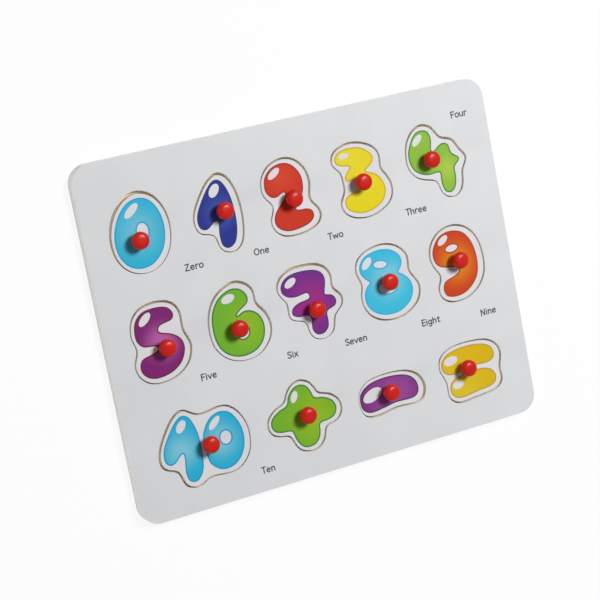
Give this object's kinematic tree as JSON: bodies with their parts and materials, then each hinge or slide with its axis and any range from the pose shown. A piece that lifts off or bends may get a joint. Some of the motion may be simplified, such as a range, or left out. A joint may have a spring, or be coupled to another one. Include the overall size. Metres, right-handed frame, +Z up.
{
  "type": "peg puzzle",
  "caption": "Flat wooden number puzzle board with rounded corners; blob-shaped numeral and arithmetic-sign tiles with red peg knobs lift straight out of sawn recesses.",
  "frame": {"origin": "centre of the board's underside, where the puzzle rests", "axes": "+X along the rows of tiles, in reading direction; +Y towards the first row; +Z up, out of the printed face"},
  "size_m": [0.29, 0.23, 0.0181],
  "materials": {
    "board_wood": "bare sanded plywood",
    "board_paper": "satin varnished print",
    "tile_wood": "bare sawn plywood",
    "tile_paper": "satin varnished print",
    "peg_plastic": "glossy moulded",
    "ink_cyan": "satin varnished ink",
    "ink_navy": "satin varnished ink",
    "ink_scarlet": "satin varnished ink",
    "ink_yellow": "satin varnished ink",
    "ink_green": "satin varnished ink",
    "ink_purple": "satin varnished ink",
    "ink_violet": "satin varnished ink",
    "ink_orange": "satin varnished ink",
    "ink_amber": "satin varnished ink"
  },
  "bodies": {
    "board": {"base_board": "board_wood", "frame_board": "board_wood", "frame_paper": "board_paper"},
    "piece_zero": {"tile_zero": "tile_wood", "paper_zero": "tile_paper", "ink_zero": "ink_cyan", "peg_zero": "peg_plastic"},
    "piece_one": {"tile_one": "tile_wood", "paper_one": "tile_paper", "ink_one": "ink_navy", "peg_one": "peg_plastic"},
    "piece_two": {"tile_two": "tile_wood", "paper_two": "tile_paper", "ink_two": "ink_scarlet", "peg_two": "peg_plastic"},
    "piece_three": {"tile_three": "tile_wood", "paper_three": "tile_paper", "ink_three": "ink_yellow", "peg_three": "peg_plastic"},
    "piece_four": {"tile_four": "tile_wood", "paper_four": "tile_paper", "ink_four": "ink_green", "peg_four": "peg_plastic"},
    "piece_five": {"tile_five": "tile_wood", "paper_five": "tile_paper", "ink_five": "ink_purple", "peg_five": "peg_plastic"},
    "piece_six": {"tile_six": "tile_wood", "paper_six": "tile_paper", "ink_six": "ink_green", "peg_six": "peg_plastic"},
    "piece_seven": {"tile_seven": "tile_wood", "paper_seven": "tile_paper", "ink_seven": "ink_violet", "peg_seven": "peg_plastic"},
    "piece_eight": {"tile_eight": "tile_wood", "paper_eight": "tile_paper", "ink_eight": "ink_cyan", "peg_eight": "peg_plastic"},
    "piece_nine": {"tile_nine": "tile_wood", "paper_nine": "tile_paper", "ink_nine": "ink_orange", "peg_nine": "peg_plastic"},
    "piece_ten": {"tile_ten": "tile_wood", "paper_ten": "tile_paper", "ink_ten": "ink_cyan", "peg_ten": "peg_plastic"},
    "piece_plus": {"tile_plus": "tile_wood", "paper_plus": "tile_paper", "ink_plus": "ink_green", "peg_plus": "peg_plastic"},
    "piece_minus": {"tile_minus": "tile_wood", "paper_minus": "tile_paper", "ink_minus": "ink_purple", "peg_minus": "peg_plastic"},
    "piece_equals": {"tile_equals": "tile_wood", "paper_equals": "tile_paper", "ink_equals": "ink_amber", "peg_equals": "peg_plastic"}
  },
  "joints": [
    {"name": "lift_zero", "type": "slide", "parent": "board", "child": "piece_zero", "axis": [0, 0, 1], "range_m": [0, 0.025]},
    {"name": "lift_one", "type": "slide", "parent": "board", "child": "piece_one", "axis": [0, 0, 1], "range_m": [0, 0.025]},
    {"name": "lift_two", "type": "slide", "parent": "board", "child": "piece_two", "axis": [0, 0, 1], "range_m": [0, 0.025]},
    {"name": "lift_three", "type": "slide", "parent": "board", "child": "piece_three", "axis": [0, 0, 1], "range_m": [0, 0.025]},
    {"name": "lift_four", "type": "slide", "parent": "board", "child": "piece_four", "axis": [0, 0, 1], "range_m": [0, 0.025]},
    {"name": "lift_five", "type": "slide", "parent": "board", "child": "piece_five", "axis": [0, 0, 1], "range_m": [0, 0.025]},
    {"name": "lift_six", "type": "slide", "parent": "board", "child": "piece_six", "axis": [0, 0, 1], "range_m": [0, 0.025]},
    {"name": "lift_seven", "type": "slide", "parent": "board", "child": "piece_seven", "axis": [0, 0, 1], "range_m": [0, 0.025]},
    {"name": "lift_eight", "type": "slide", "parent": "board", "child": "piece_eight", "axis": [0, 0, 1], "range_m": [0, 0.025]},
    {"name": "lift_nine", "type": "slide", "parent": "board", "child": "piece_nine", "axis": [0, 0, 1], "range_m": [0, 0.025]},
    {"name": "lift_ten", "type": "slide", "parent": "board", "child": "piece_ten", "axis": [0, 0, 1], "range_m": [0, 0.025]},
    {"name": "lift_plus", "type": "slide", "parent": "board", "child": "piece_plus", "axis": [0, 0, 1], "range_m": [0, 0.025]},
    {"name": "lift_minus", "type": "slide", "parent": "board", "child": "piece_minus", "axis": [0, 0, 1], "range_m": [0, 0.025]},
    {"name": "lift_equals", "type": "slide", "parent": "board", "child": "piece_equals", "axis": [0, 0, 1], "range_m": [0, 0.025]}
  ]
}
